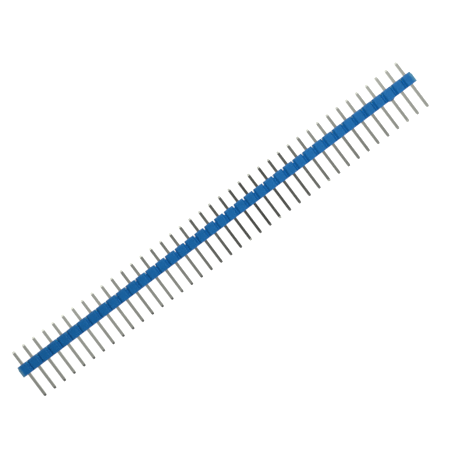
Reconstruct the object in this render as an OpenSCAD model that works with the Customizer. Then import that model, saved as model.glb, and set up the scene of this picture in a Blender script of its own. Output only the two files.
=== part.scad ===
// Break-away pin header strip: one row of square pins pressed through a moulded insulator.
// +X runs along the row, +Y points to the short solder tails and -Y to the long contact posts.
// The strip lies on one side of its insulator, with its pins level and +Z up.
// The origin is on the surface that it lies on, under the middle of the overall box.

/* [Row] */
// Number of positions in the row, each with one pin
positions = 40; // [4:1:59]
// Distance from one pin to the next
pitch = 2.54; // [2:0.01:3.5]

/* [Insulator] */
// Thickness of the insulator across the row
body_depth = 2.54; // [2:0.01:3.5]
// Height of the insulator along the pins
body_height = 2.45; // [1.6:0.05:4]

/* [Break lines] */
// Depth of the 45 degree groove between two units, on both side faces
groove_depth = 0.42; // [0.1:0.01:0.7]
// Radius of the bottom of the groove
groove_root_r = 0.12; // [0.05:0.01:0.2]
// Radius of the edges where the groove meets a side face
groove_edge_r = 0.15; // [0.05:0.01:0.3]
// Width of the notch between two units where it opens on the board side
notch_mouth = 0.34; // [0.1:0.01:0.6]
// Width of the notch at its bottom
notch_root = 0.16; // [0.05:0.01:0.5]
// Depth of the notch
notch_depth = 0.6; // [0.2:0.05:1]
// Radius of the two corners at the mouth of the notch
notch_corner_r = 0.1; // [0.03:0.01:0.15]

/* [Pins] */
// Side of the square wire
pin_size = 0.64; // [0.5:0.01:0.8]
// Radius of the wire's long edges
pin_edge_r = 0.03; // [0.02:0.005:0.15]
// Length of the solder tail outside the insulator
tail_length = 3.25; // [1.5:0.05:6]
// Length of the contact post outside the insulator
post_length = 5.7; // [3:0.05:12]
// Length of the tapered tip at each end of a pin
tip_length = 0.41; // [0.1:0.01:1]
// Side of the square flat at the end of each tip
tip_flat = 0.46; // [0.1:0.01:0.48]

/* [Fit of the pins] */
// Gap between each flat of a pin and the wall of its hole, none for a press fit
press_gap = 0; // [0:0.005:0.05]
// Width of the bevel round each hole on the board side, where the pin is pressed in
lead_in = 0.1; // [0.02:0.01:0.2]

/* [Raised lip] */
// Unit with a lip of plastic drawn up round its post, counted from the +X end
lip_unit = 3; // [1:1:4]
// Radius of the lip where it leaves the insulator
lip_r = 0.82; // [0.65:0.01:0.95]
// Height of the lip above the insulator
lip_height = 0.26; // [0.05:0.01:0.4]

/* [Hidden] */
row_length = positions * pitch;
pin_length = tail_length + body_height + post_length;
board_y = pin_length / 2 - tail_length;
mating_y = board_y - body_height;
mid_z = body_depth / 2;
hole_size = pin_size + 2 * press_gap;
// Overrun of every cutting shape past the face that it cuts
over = 0.5;
// Sides of a full circle, enough to carry a true arc
$fn = 48;

plastic_blue = "#1e69ad";
tin_grey = "#a9aaa4";

// Places of the break lines between units, and of the two ends of the row
break_lines = [for (k = [0 : positions]) (k - positions / 2) * pitch];

function pin_x(i) = (i - (positions + 1) / 2) * pitch;
function pin_name(i) = str("pin_", i < 10 ? "0" : "", i);

// Turns a flat outline drawn across the pins into a bar of the given length along Y
module bar_along_y(length) {
    rotate([90, 0, 0])
        linear_extrude(length, center = true)
            children();
}

// Turns an outline drawn in X and Y into the square solid whose front and side are that outline
module square_solid(width) {
    intersection() {
        linear_extrude(width, center = true)
            children();
        rotate([0, 90, 0])
            linear_extrude(width, center = true)
                children();
    }
}

// A shape and its mirror image across the Y axis
module both_ways() {
    children();
    mirror([1, 0])
        children();
}

// Cut that rounds a corner of material at the origin. One face of the corner runs off along +X,
// and the other turns down from the first by the given angle.
module corner_cut(radius, turn) {
    reach = radius * tan(turn / 2);
    // The cut goes past the corner by half its distance from the centre of the arc
    past = 1.5;
    translate([reach, -radius])
        difference() {
            polygon([
                [0, 0],
                [0, past * radius],
                [-past * reach, past * radius],
                [-past * radius * sin(turn), past * radius * cos(turn)]
            ]);
            circle(radius);
        }
}

// Groove with a round bottom and rounded edges, open upwards at the origin
module groove_outline() {
    wall_angle = 45;
    // Half the width that the groove would have with a sharp bottom and sharp edges
    half = groove_depth + groove_root_r * (sqrt(2) - 1);
    // Depth of the centre of the bottom arc, and the offset of the points where the walls touch it
    centre = groove_depth - groove_root_r;
    touch = groove_root_r * sin(wall_angle);
    polygon([
        [-(half + over), over],
        [half + over, over],
        [touch, -(centre + touch)],
        [-touch, -(centre + touch)]
    ]);
    translate([0, -centre])
        circle(groove_root_r);
    both_ways()
        translate([half, 0])
            corner_cut(groove_edge_r, wall_angle);
}

// Insulator seen along the pins: the grooves leave a chain of eight-sided units
module row_outline() {
    difference() {
        square([row_length, body_depth], center = true);
        for (x = break_lines, side = [0, 1])
            mirror([0, side])
                translate([x, mid_z])
                    groove_outline();
    }
}

// Tapered notch with a rounded mouth, open upwards at the origin
module notch_outline() {
    lean = (notch_mouth - notch_root) / 2;
    // The flanks run on past the mouth at the same slope
    flare = lean / notch_depth * over;
    polygon([
        [-notch_root / 2, -notch_depth],
        [notch_root / 2, -notch_depth],
        [notch_mouth / 2 + flare, over],
        [-(notch_mouth / 2 + flare), over]
    ]);
    both_ways()
        translate([notch_mouth / 2, 0])
            corner_cut(notch_corner_r, atan2(notch_depth, lean));
}

// Insulator seen from the side that it lies on: a bar notched from the board side
module face_outline() {
    difference() {
        translate([-row_length / 2, mating_y])
            square([row_length, body_height]);
        for (x = break_lines)
            translate([x, board_y])
                notch_outline();
    }
}

// Solid insulator, before the lip and the holes
module insulator_block() {
    intersection() {
        translate([0, 0, mid_z])
            bar_along_y(pin_length)
                row_outline();
        translate([0, 0, -over])
            linear_extrude(body_depth + 2 * over)
                face_outline();
    }
}

// Low dome on the post side, a slice of a ball whose centre lies inside the insulator
module raised_lip() {
    ball_r = (lip_r ^ 2 + lip_height ^ 2) / (2 * lip_height);
    rooted = lip_height / 2;
    intersection() {
        translate([0, mating_y - lip_height + ball_r, 0])
            sphere(ball_r);
        translate([-ball_r, mating_y - lip_height, -ball_r])
            cube([2 * ball_r, lip_height + rooted, 2 * ball_r]);
    }
}

// Side view of the funnel that leads a pin into its hole, its mouth on the X axis
module lead_in_outline() {
    half = hole_size / 2;
    polygon([
        [-(half + lead_in + over), over],
        [half + lead_in + over, over],
        [half / 2, -(lead_in + half / 2)],
        [-half / 2, -(lead_in + half / 2)]
    ]);
}

// Everything removed from the insulator for one pin
module pin_hole() {
    bar_along_y(pin_length)
        square(hole_size, center = true);
    translate([0, board_y, 0])
        square_solid(pitch * 2)
            lead_in_outline();
}

// Section of the wire: a square with its four corners rounded
module wire_section() {
    reach = pin_size / 2 - pin_edge_r;
    square([pin_size, 2 * reach], center = true);
    square([2 * reach, pin_size], center = true);
    for (x = [-reach, reach], y = [-reach, reach])
        translate([x, y])
            circle(pin_edge_r);
}

// Side view of the space that a pin fills: its sides stand clear of the wire, and the tapers of
// the two tips run on outwards to meet them
module tip_outline() {
    end = pin_length / 2;
    half = tip_flat / 2;
    side = pin_size / 2 + 0.02;
    slope = tip_length / (pin_size / 2 - half);
    shoulder = end - slope * (side - half);
    polygon([
        [-half, end],
        [half, end],
        [side, shoulder],
        [side, -shoulder],
        [half, -end],
        [-half, -end],
        [-side, -shoulder],
        [-side, shoulder]
    ]);
}

// The moulding that carries every pin
module insulator() {
    color(plastic_blue)
        difference() {
            union() {
                insulator_block();
                translate([pin_x(positions + 1 - lip_unit), 0, mid_z])
                    raised_lip();
            }
            for (i = [1 : positions])
                translate([pin_x(i), 0, mid_z])
                    pin_hole();
        }
}

// One pin, in its place in the row
module pin(i) {
    color(tin_grey)
        translate([pin_x(i), 0, mid_z])
            intersection() {
                bar_along_y(pin_length)
                    wire_section();
                square_solid(pin_size * 2)
                    tip_outline();
            }
}

insulator();
for (i = [1 : positions])
    pin(i);
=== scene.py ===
"""Looks of a break-away pin header strip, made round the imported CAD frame.

Every length is in metres, in the frame of the part: +X runs along the row, +Y points to the
short solder tails, -Y to the long contact posts, and the strip lies on z = 0.

The CAD meshes stay as they are: this script gives them materials, rounds the edges of the
moulding with modifiers, and adds the floor, the light and the camera.
"""

import math

import bpy
from mathutils import Matrix, Vector


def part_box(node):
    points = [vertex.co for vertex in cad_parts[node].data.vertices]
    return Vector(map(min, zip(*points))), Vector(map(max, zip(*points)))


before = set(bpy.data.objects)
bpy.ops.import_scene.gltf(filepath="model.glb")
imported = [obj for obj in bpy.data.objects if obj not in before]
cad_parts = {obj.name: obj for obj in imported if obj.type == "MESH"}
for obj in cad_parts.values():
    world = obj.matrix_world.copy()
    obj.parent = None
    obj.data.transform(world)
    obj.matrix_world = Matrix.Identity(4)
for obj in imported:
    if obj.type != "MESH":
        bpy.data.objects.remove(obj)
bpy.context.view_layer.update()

MM = 0.001

# Places and sizes that the frame gives
BODY_LOW, BODY_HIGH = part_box("insulator")
PINS = sorted(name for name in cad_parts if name.startswith("pin_"))
PIN_LOW, PIN_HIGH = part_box(PINS[0])
NEXT_PIN_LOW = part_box(PINS[1])[0]
PITCH = NEXT_PIN_LOW.x - PIN_LOW.x
FIRST_PIN_X = (PIN_LOW.x + PIN_HIGH.x) / 2
PIN_END_Y = PIN_HIGH.y
PIN_Z = (PIN_LOW.z + PIN_HIGH.z) / 2

# Camera, with its lens and sensor in millimetres. It is almost straight above the row, which
# climbs to the right in the picture.
LENS = 86.52
SENSOR = 36.0
EYE = Vector((2.8 * MM, 0.12 * MM, 225.0 * MM))
TARGET = Vector((1.345 * MM, 0.12 * MM, PIN_Z))
ROW_TURN = math.radians(37.1)
CLIP_NEAR = 0.01
CLIP_FAR = 20.0

# Noise stays mostly between the low and the high value
NOISE_LOW = 0.3
NOISE_MIDDLE = 0.5
NOISE_HIGH = 0.7

# Scales of the noises, in features for each metre, and the detail of the finer ones
PLASTIC_CLOUDS = 420
END_HIGHLIGHT_PATCHES = 2500
GLOSS_PATCHES = 1300
MOULD_GRAIN = 16000
TIN_CLOUDS = 800
DRAWN_STREAKS = 22000
SHEET_CLOUDS = 40
FINE_DETAIL = 3.0

# Plain white with full opacity, for colour sockets
WHITE = (1, 1, 1, 1)

# Blue plastic: the two blues of its faint clouds, how far the clouds are drawn out along X, the
# way the plastic flowed, its roughness in glossy and dull patches, and the strength and the tint
# of its shine
DEEP_BLUE = (0.0017, 0.0615, 0.193)
CLEAR_BLUE = (0.0029, 0.0694, 0.213)
FLOW_STRETCH = (0.35, 1.0, 1.0)
PLASTIC_ROUGHNESS = (0.36, 0.48)
PLASTIC_SHINE = 0.3
PLASTIC_SHINE_TINT = (0.3, 0.7, 1.0, 1.0)

# Grain that the mould left on the plastic: its depth, and how strongly it shows
GRAIN_DEPTH = 0.02 * MM
GRAIN_STRENGTH = 0.5

# Paler blue painted on the thin web at each break line as painted light coming through it, and its
# reach from the line
WEB_GLOW_BLUE = (0.0022, 0.0735, 0.247)
WEB_GLOW_REACH = 0.3 * MM

# Painted highlight at both ends of the row, a pale blue-grey that stands in for the bright
# surround mirrored on the end faces: how far in from the end it reaches, how far the edge of the
# pale patch wanders, and how pale it gets
END_HIGHLIGHT_BLUE = (0.070, 0.225, 0.285)
END_HIGHLIGHT_REACH = 0.8 * MM
END_HIGHLIGHT_WANDER = 0.8 * MM
END_HIGHLIGHT_MOST = 0.85

# Pale bands painted along the board side and the post side as painted highlights on those edges:
# their widths, and how pale they get at the edge. The place of the post side's face is given here,
# because the raised lip stretches the insulator's box past it.
SIDE_HIGHLIGHT_BLUE = (0.029, 0.108, 0.226)
POST_FACE_Y = 0.0
BOARD_SIDE_HIGHLIGHT = 0.5 * MM
BOARD_SIDE_HIGHLIGHT_MOST = 0.5
POST_SIDE_HIGHLIGHT = 0.25 * MM
POST_SIDE_HIGHLIGHT_MOST = 0.25

# Notches between the units, open on the board side, which look as if light came through their
# walls: the pale blue of the mouth, the depth of the notch, the distance past its bottom over
# which the blue fades out, its share at the bottom, and the distances from a break line within
# which it is full and beyond which it is gone
NOTCH_BLUE = (0.005, 0.25, 0.49)
NOTCH_DEPTH = 0.6 * MM
NOTCH_FADE = 0.1 * MM
NOTCH_BOTTOM_SHARE = 0.4
NOTCH_FULL = 0.14 * MM
NOTCH_GONE = 0.22 * MM

# Tin: the two greys of its faint clouds, how far its streaks are drawn out along the wire, the
# roughness of glossy and dull streaks, their depth, and how strongly it shows
DULL_TIN = (0.560, 0.572, 0.515)
CLEAN_TIN = (0.592, 0.605, 0.546)
STREAK_STRETCH = (1.0, 0.03, 1.0)
WIRE_ROUGHNESS = (0.07, 0.14)
STREAK_DEPTH = 0.001 * MM
STREAK_STRENGTH = 0.15

# Brightness of the darkest and the lightest pin, and the painted highlight that makes the cut tips
# brighter than the wire
PIN_SHADES = (0.895, 1.085)
TIP_HIGHLIGHT = 1.1

# Length of the cut tip at each end of a pin, and of the step in gloss where the tip begins
TIP = 0.41 * MM
TIP_FADE = 0.02 * MM

# Roughness of a cleanly cut tip and of a rough one, the draw above which a tip is rough, and the
# step over which that sets in
CLEAN_CUT_ROUGHNESS = 0.12
ROUGH_CUT_ROUGHNESS = 0.6
ROUGH_TIPS = 0.88
ROUGH_TIPS_STEP = 0.01

# Starts of the runs of random numbers that make each pin a little lighter or darker, and that pick
# the few pins whose tips were cut rough
PIN_SEED = 4269994
TIP_SEED = 29013

# Rounded edges of the moulding: the width and the steps of the rounding, the gap under which
# vertices are welded, the angle under which faces count as one flat face, the angle from which an
# edge is rounded, and how much the big faces lead the normals
MOULD_EDGE = 0.06 * MM
EDGE_STEPS = 2
WELD_GAP = 0.0005 * MM
FLAT_WITHIN = math.radians(0.5)
SHARP = math.radians(28)
BIG_FACES_LEAD = 80

# Glowing white sheet that the strip lies on: its glow, half its width, its drop below the strip,
# the two greys of its faint clouds under the glow, its roughness and its shine
FLOOR_GLOW = 1.0
FLOOR_HALF = 3.0
FLOOR_DROP = 0.01 * MM
FLOOR_DARK = (0.133, 0.133, 0.133)
FLOOR_LIGHT = (0.147, 0.147, 0.147)
FLOOR_ROUGHNESS = 0.9
FLOOR_SHINE = 0.1

# Sky: its level overhead and at the sides, and the angles from the zenith, in degrees, between
# which the level changes
SKY_OVERHEAD = 0.59
SKY_SIDES = 0.98
SKY_CHANGES = (17, 32)

# What the pins and the plastic mirror in the sky: a direction, the angles from it in degrees
# within which the thing is full and beyond which it is gone, and its brightness as a share of
# the sky's
MIRRORED = {
    "lens": ((0.048, -0.010, 1), 1.6, 5.1, 0.353),
    "camera body": ((-0.010, 0.036, 1), 3.9, 7.1, 0.36),
    "camera stand": ((0.151, -0.024, 1), 2.0, 2.85, 0.61),
    "small lamp": ((-0.068, -0.012, 1), 0.17, 2.0, 1.9),
    "white panel on the left": ((-0.75, 0, 0.65), 12, 30, 1.6),
    "dim corner on the right": ((0.85, 0, 0.5), 10, 28, 0.5),
    "dark cloth behind the posts": ((-0.10, -0.42, 0.9), 5, 24, 0.25),
    "white card behind the tails": ((-0.20, 0.42, 0.9), 3, 12, 1.45),
}

# The sky gets brighter to the right and towards the tails: the range of each coordinate of the
# direction, and the brightness at its two ends
BRIGHTER_RIGHT = (-0.243, 0.208, 0.79, 1.235)
BRIGHTER_TAIL_SIDE = (-0.032, 0.032, 0.854, 1.146)

# The low sky is dimmer, down to this share of its level, and the horizon, which shows behind the
# floor in low views, is plain white: the angles from the zenith between which each one sets in
LOW_SKY = 0.75
LOW_SKY_CHANGES = (35, 60)
HORIZON_CHANGES = (76, 84)

# Lamps, with places and sizes in metres and powers in watts
OVERHEAD_PLACE = Vector((0.04, 0.0, 0.15))
OVERHEAD_SIZE = 0.12
OVERHEAD_POWER = 0.262
EDGE_PLACE = Vector((0.21, 0.02, 0.23))
EDGE_SIZE = 0.15
EDGE_POWER = 0.45


def add(tree, kind, inputs=None, **settings):
    """Adds one shader node, sets its options, and sets or links its inputs."""
    made = tree.nodes.new(kind)
    for name, value in settings.items():
        setattr(made, name, value)
    for name, value in (inputs or {}).items():
        if isinstance(value, bpy.types.NodeSocket):
            tree.links.new(value, made.inputs[name])
        else:
            made.inputs[name].default_value = value
    return made


def calc(tree, operation, first, second=0.0):
    """One step of arithmetic on two values, each a socket or a number."""
    made = add(tree, "ShaderNodeMath", operation=operation)
    for socket, value in zip(made.inputs, (first, second)):
        if isinstance(value, bpy.types.NodeSocket):
            tree.links.new(value, socket)
        else:
            socket.default_value = value
    return made.outputs["Value"]


def remap(tree, value, low, high, to_low, to_high, smooth=False):
    """Maps a value from one range to another, clamped."""
    made = add(
        tree,
        "ShaderNodeMapRange",
        {"Value": value, "From Min": low, "From Max": high, "To Min": to_low, "To Max": to_high},
        interpolation_type="SMOOTHSTEP" if smooth else "LINEAR",
    )
    return made.outputs["Result"]


def blend_colours(tree, factor, first, second):
    """Mixes a colour, a socket or three numbers, with a second one of three numbers."""
    base = first if isinstance(first, bpy.types.NodeSocket) else (*first, 1)
    made = add(
        tree,
        "ShaderNodeMixRGB",
        {"Fac": factor, "Color1": base, "Color2": (*second, 1)},
    )
    return made.outputs["Color"]


def noise(tree, vector, scale, detail=2.0):
    """Noise value of a place; scale is in features for each metre."""
    made = add(tree, "ShaderNodeTexNoise", {"Vector": vector, "Scale": scale, "Detail": detail})
    return made.outputs["Fac"]


def spread(tree, value, low, high):
    """Spreads a noise's value over a range."""
    return remap(tree, value, NOISE_LOW, NOISE_HIGH, low, high)


def bump(tree, shader, height, strength, distance):
    """Roughens a shader's surface by a height."""
    made = add(
        tree,
        "ShaderNodeBump",
        {"Strength": strength, "Distance": distance, "Height": height},
    )
    tree.links.new(made.outputs["Normal"], shader.inputs["Normal"])


def material(name):
    """A new material: its node tree, its shader and the object's own coordinates."""
    made = bpy.data.materials.new(name)
    made.use_nodes = True
    tree = made.node_tree
    shader = tree.nodes["Principled BSDF"]
    place = add(tree, "ShaderNodeTexCoord").outputs["Object"]
    return made, tree, shader, place


def end_highlight_mask(tree, place, from_middle):
    """How strong the painted highlight is at the two ends of the row, with a patchy edge."""
    blotches = noise(tree, place, END_HIGHLIGHT_PATCHES, FINE_DETAIL)
    patches = calc(tree, "SUBTRACT", blotches, NOISE_MIDDLE)
    wander = calc(tree, "MULTIPLY", patches, END_HIGHLIGHT_WANDER)
    uneven = calc(tree, "ADD", from_middle, wander)
    return remap(tree, uneven, BODY_HIGH.x - END_HIGHLIGHT_REACH, BODY_HIGH.x, 0.0, END_HIGHLIGHT_MOST)


def side_highlight_mask(tree, y):
    """How strong the painted highlights are along the board side and the post side."""
    board_side = remap(tree, y, BODY_HIGH.y - BOARD_SIDE_HIGHLIGHT, BODY_HIGH.y, 0.0, BOARD_SIDE_HIGHLIGHT_MOST)
    post_side = remap(tree, y, POST_FACE_Y, POST_FACE_Y + POST_SIDE_HIGHLIGHT, POST_SIDE_HIGHLIGHT_MOST, 0.0)
    return calc(tree, "ADD", board_side, post_side)


def notch_mask(tree, y, from_middle, from_break):
    """How pale the notches are, all but the half ones at the two ends of the row."""
    bottom = BODY_HIGH.y - NOTCH_DEPTH
    strength = remap(tree, y, bottom, BODY_HIGH.y, NOTCH_BOTTOM_SHARE, 1.0)
    masks = (
        remap(tree, y, bottom - NOTCH_FADE, bottom, 0.0, 1.0),
        remap(tree, from_break, NOTCH_FULL, NOTCH_GONE, 1.0, 0.0),
        remap(tree, from_middle, BODY_HIGH.x - PITCH / 2, BODY_HIGH.x - PITCH / 4, 1.0, 0.0),
    )
    for mask in masks:
        strength = calc(tree, "MULTIPLY", strength, mask)
    return strength


def plastic_colour(tree, place):
    """Clouded blue, with painted light on the webs and in the notches, and painted highlights at
    the ends of the row and along the board side and the post side.
    """
    axes = add(tree, "ShaderNodeSeparateXYZ", {"Vector": place}).outputs
    from_middle = calc(tree, "ABSOLUTE", axes["X"])
    from_end = calc(tree, "SUBTRACT", axes["X"], BODY_LOW.x)
    from_break = calc(tree, "PINGPONG", from_end, PITCH / 2)
    flow = add(tree, "ShaderNodeMapping", {"Vector": place, "Scale": FLOW_STRETCH})
    flowing = flow.outputs["Vector"]
    clouds = spread(tree, noise(tree, flowing, PLASTIC_CLOUDS, FINE_DETAIL), 0.0, 1.0)
    colour = blend_colours(tree, clouds, DEEP_BLUE, CLEAR_BLUE)
    # Painted light: paler blue on the thin web near each break line, as if light came through it
    web_glow = remap(tree, from_break, 0.0, WEB_GLOW_REACH, 1.0, 0.0)
    colour = blend_colours(tree, web_glow, colour, WEB_GLOW_BLUE)
    # Painted highlight: paler blue-grey at both ends of the row
    colour = blend_colours(tree, end_highlight_mask(tree, place, from_middle), colour, END_HIGHLIGHT_BLUE)
    # Painted highlights: paler bands along the board side and the post side
    colour = blend_colours(tree, side_highlight_mask(tree, axes["Y"]), colour, SIDE_HIGHLIGHT_BLUE)
    in_notch = notch_mask(tree, axes["Y"], from_middle, from_break)
    return blend_colours(tree, in_notch, colour, NOTCH_BLUE)


def moulded_plastic():
    """Blue moulded plastic with flow marks, uneven gloss and a fine grain."""
    made, tree, shader, place = material("moulded_blue_plastic")
    tree.links.new(plastic_colour(tree, place), shader.inputs["Base Color"])
    gloss = spread(tree, noise(tree, place, GLOSS_PATCHES, FINE_DETAIL), *PLASTIC_ROUGHNESS)
    tree.links.new(gloss, shader.inputs["Roughness"])
    bump(tree, shader, noise(tree, place, MOULD_GRAIN), GRAIN_STRENGTH, GRAIN_DEPTH)
    shader.inputs["Specular IOR Level"].default_value = PLASTIC_SHINE
    shader.inputs["Specular Tint"].default_value = PLASTIC_SHINE_TINT
    return made


def pin_luck(tree, place, seed):
    """Random number from 0 to 1, the same all over one pin."""
    along_row = add(tree, "ShaderNodeSeparateXYZ", {"Vector": place}).outputs["X"]
    steps = calc(tree, "DIVIDE", calc(tree, "SUBTRACT", along_row, FIRST_PIN_X), PITCH)
    number = calc(tree, "ROUND", steps)
    drawn = calc(tree, "ADD", number, seed)
    made = add(tree, "ShaderNodeTexWhiteNoise", {"W": drawn}, noise_dimensions="1D")
    return made.outputs["Value"]


def tip_mask(tree, place):
    """1 on the cut tips of the pins and 0 on the drawn wire between them."""
    along_pin = add(tree, "ShaderNodeSeparateXYZ", {"Vector": place}).outputs["Y"]
    from_end = calc(tree, "SUBTRACT", PIN_END_Y, calc(tree, "ABSOLUTE", along_pin))
    return remap(tree, from_end, TIP, TIP + TIP_FADE, 1.0, 0.0)


def tin_colour(tree, place, on_tip):
    """Faintly clouded grey with a painted highlight on the cut tips, and each pin a little lighter
    or darker.
    """
    clouds = spread(tree, noise(tree, place, TIN_CLOUDS, FINE_DETAIL), 0.0, 1.0)
    grey = blend_colours(tree, clouds, DULL_TIN, CLEAN_TIN)
    luck = remap(tree, pin_luck(tree, place, PIN_SEED), 0.0, 1.0, *PIN_SHADES)
    # Painted highlight: the cut tips are made brighter than the wire
    tip_highlight = remap(tree, on_tip, 0.0, 1.0, 1.0, TIP_HIGHLIGHT)
    shade = calc(tree, "MULTIPLY", luck, tip_highlight)
    made = add(
        tree,
        "ShaderNodeMixRGB",
        {"Fac": 1.0, "Color1": grey, "Color2": shade},
        blend_type="MULTIPLY",
    )
    return made.outputs["Color"]


def tin_roughness(tree, place, on_tip, streaks):
    """Glossy streaks on the drawn wire, and tips cut clean on most pins and rough on a few."""
    drawn = spread(tree, streaks, *WIRE_ROUGHNESS)
    cut = remap(
        tree,
        pin_luck(tree, place, TIP_SEED),
        ROUGH_TIPS,
        ROUGH_TIPS + ROUGH_TIPS_STEP,
        CLEAN_CUT_ROUGHNESS,
        ROUGH_CUT_ROUGHNESS,
    )
    return add(tree, "ShaderNodeMix", {"Factor": on_tip, "A": drawn, "B": cut}).outputs["Result"]


def tinned_wire():
    """Tinned square wire, streaked along its length by drawing, with cut tips."""
    made, tree, shader, place = material("tinned_wire")
    along = add(tree, "ShaderNodeMapping", {"Vector": place, "Scale": STREAK_STRETCH})
    streaks = noise(tree, along.outputs["Vector"], DRAWN_STREAKS)
    on_tip = tip_mask(tree, place)
    tree.links.new(tin_colour(tree, place, on_tip), shader.inputs["Base Color"])
    tree.links.new(tin_roughness(tree, place, on_tip, streaks), shader.inputs["Roughness"])
    bump(tree, shader, streaks, STREAK_STRENGTH, STREAK_DEPTH)
    shader.inputs["Metallic"].default_value = 1.0
    return made


def dress(node, surface):
    """Gives a CAD node its material."""
    for slot in node.material_slots:
        slot.material = surface


def round_edges(node):
    """Rounds the sharp edges of a CAD node with modifiers, its own mesh left as it is."""
    weld = node.modifiers.new("weld", "WELD")
    weld.merge_threshold = WELD_GAP
    flat = node.modifiers.new("flat_faces", "DECIMATE")
    flat.decimate_type = "DISSOLVE"
    flat.angle_limit = FLAT_WITHIN
    bevel = node.modifiers.new("edges", "BEVEL")
    bevel.width = MOULD_EDGE
    bevel.segments = EDGE_STEPS
    bevel.limit_method = "ANGLE"
    bevel.angle_limit = SHARP
    bevel.use_clamp_overlap = True
    bevel.harden_normals = False
    normals = node.modifiers.new("normals", "WEIGHTED_NORMAL")
    normals.keep_sharp = False
    normals.weight = BIG_FACES_LEAD


def studio_floor():
    """Plain white glowing floor under the strip."""
    mesh = bpy.data.meshes.new("floor")
    signs = ((-1, -1), (1, -1), (1, 1), (-1, 1))
    corners = [(x * FLOOR_HALF, y * FLOOR_HALF, -FLOOR_DROP) for x, y in signs]
    mesh.from_pydata(corners, [], [(0, 1, 2, 3)])
    floor = bpy.data.objects.new("floor", mesh)
    bpy.context.scene.collection.objects.link(floor)
    made, tree, shader, place = material("lit_white_sheet")
    clouds = spread(tree, noise(tree, place, SHEET_CLOUDS), 0.0, 1.0)
    colour = blend_colours(tree, clouds, FLOOR_DARK, FLOOR_LIGHT)
    tree.links.new(colour, shader.inputs["Base Color"])
    shader.inputs["Roughness"].default_value = FLOOR_ROUGHNESS
    shader.inputs["Specular IOR Level"].default_value = FLOOR_SHINE
    shader.inputs["Emission Color"].default_value = WHITE
    shader.inputs["Emission Strength"].default_value = FLOOR_GLOW
    mesh.materials.append(made)


def toward(tree, direction, aim, inner, outer, inside, outside):
    """One value within the inner angle from a direction, and another beyond the outer angle."""
    near = add(tree, "ShaderNodeVectorMath", operation="DOT_PRODUCT")
    tree.links.new(direction, near.inputs[0])
    near.inputs[1].default_value = Vector(aim).normalized()
    far_cos = math.cos(math.radians(outer))
    near_cos = math.cos(math.radians(inner))
    return remap(tree, near.outputs["Value"], far_cos, near_cos, outside, inside, smooth=True)


def studio_world():
    """Soft white surround with a white horizon and the things that the pins mirror."""
    world = bpy.data.worlds.new("studio")
    world.use_nodes = True
    bpy.context.scene.world = world
    tree = world.node_tree
    direction = add(tree, "ShaderNodeTexCoord").outputs["Generated"]
    axes = add(tree, "ShaderNodeSeparateXYZ", {"Vector": direction}).outputs
    zenith = (0, 0, 1)
    shades = [
        remap(tree, axes["X"], *BRIGHTER_RIGHT),
        remap(tree, axes["Y"], *BRIGHTER_TAIL_SIDE),
        toward(tree, direction, zenith, *LOW_SKY_CHANGES, 1.0, LOW_SKY),
    ]
    for aim, inner, outer, brightness in MIRRORED.values():
        shades.append(toward(tree, direction, aim, inner, outer, brightness, 1.0))
    level = toward(tree, direction, zenith, *SKY_CHANGES, SKY_OVERHEAD, SKY_SIDES)
    for shade in shades:
        level = calc(tree, "MULTIPLY", level, shade)
    horizon = toward(tree, direction, zenith, *HORIZON_CHANGES, 0.0, 1.0)
    level = calc(tree, "MAXIMUM", level, horizon)
    background = tree.nodes["Background"]
    background.inputs["Color"].default_value = WHITE
    tree.links.new(level, background.inputs["Strength"])


def disk_lamp(name, place, size, power):
    """Round soft lamp that faces down and that the camera doesn't see."""
    data = bpy.data.lights.new(name, "AREA")
    data.shape = "DISK"
    data.size = size
    data.energy = power
    lamp = bpy.data.objects.new(name, data)
    lamp.location = place
    lamp.visible_camera = False
    bpy.context.scene.collection.objects.link(lamp)
    return lamp


def overhead_lamp():
    """One broad soft lamp above the +X half of the row, which shows in no reflection."""
    lamp = disk_lamp("overhead_light", OVERHEAD_PLACE, OVERHEAD_SIZE, OVERHEAD_POWER)
    lamp.visible_glossy = False


def edge_lamp(insulator):
    """Soft lamp beyond the +X end that faces the strip and only glints on the insulator."""
    lamp = disk_lamp("edge_light", EDGE_PLACE, EDGE_SIZE, EDGE_POWER)
    lamp.rotation_mode = "QUATERNION"
    lamp.rotation_quaternion = EDGE_PLACE.to_track_quat("Z", "Y")
    lamp.visible_diffuse = False
    lit = bpy.data.collections.new("glinting")
    lit.objects.link(insulator)
    lamp.light_linking.receiver_collection = lit


def camera():
    """Camera above the row, with +X running to the right and upwards in the picture."""
    data = bpy.data.cameras.new("camera")
    data.lens = LENS
    data.sensor_width = SENSOR
    data.clip_start = CLIP_NEAR
    data.clip_end = CLIP_FAR
    eye = bpy.data.objects.new("camera", data)
    back = (EYE - TARGET).normalized()
    up_hint = Vector((math.sin(ROW_TURN), math.cos(ROW_TURN), 0))
    right = up_hint.cross(back).normalized()
    up = back.cross(right)
    turn = Matrix((right, up, back)).transposed()
    eye.matrix_world = Matrix.Translation(EYE) @ turn.to_4x4()
    bpy.context.scene.collection.objects.link(eye)
    bpy.context.scene.camera = eye


bpy.context.scene.view_settings.view_transform = "Standard"
plastic = moulded_plastic()
tin = tinned_wire()
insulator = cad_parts["insulator"]
dress(insulator, plastic)
round_edges(insulator)
for name in PINS:
    dress(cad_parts[name], tin)
studio_floor()
studio_world()
overhead_lamp()
edge_lamp(insulator)
camera()
